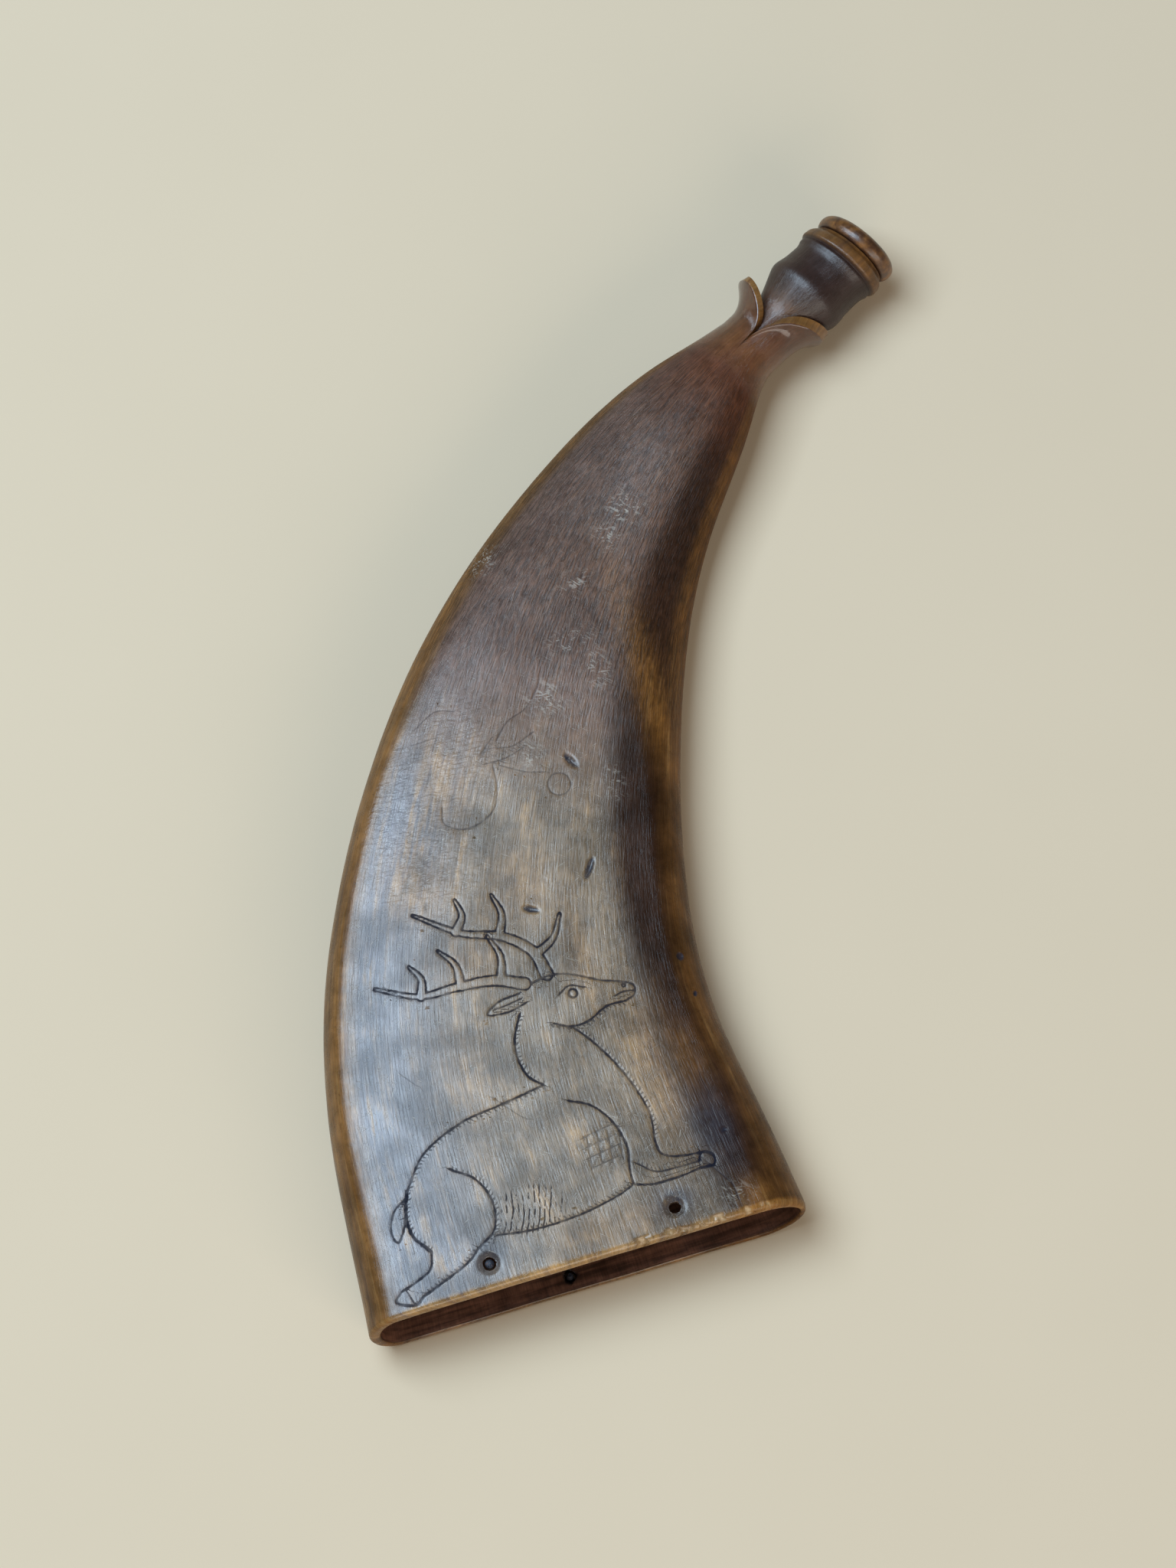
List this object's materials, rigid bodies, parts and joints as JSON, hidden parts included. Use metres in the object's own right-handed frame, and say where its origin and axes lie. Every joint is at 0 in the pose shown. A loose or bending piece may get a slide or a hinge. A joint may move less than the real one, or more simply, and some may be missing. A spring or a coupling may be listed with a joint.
{
  "type": "powder horn",
  "caption": "Flattened powder horn with an open base, a carved leaf collar and a turned spout closed by a stopper that pulls out.",
  "frame": {"origin": "on the resting plane, under the middle of the base rim's top edge", "axes": "+Z out of the engraved show face, +Y from the base opening along the body, +X to the side the horn bends to"},
  "size_m": [0.1651, 0.1974, 0.022],
  "materials": {
    "horn": "polished dark brown horn with amber edges, worn to satin",
    "stopper_horn": "polished amber brown horn",
    "iron": "dark, slightly shiny corroded iron"
  },
  "bodies": {
    "horn": {"horn_body": "horn", "nail_stub_front": "iron", "nail_stub_back": "iron"},
    "stopper": {"spout_stopper": "stopper_horn"}
  },
  "joints": [
    {"name": "stopper_pull", "type": "slide", "parent": "horn", "child": "stopper", "axis": [0.8902, 0.4555, 0], "range_m": [0, 0.022]}
  ]
}
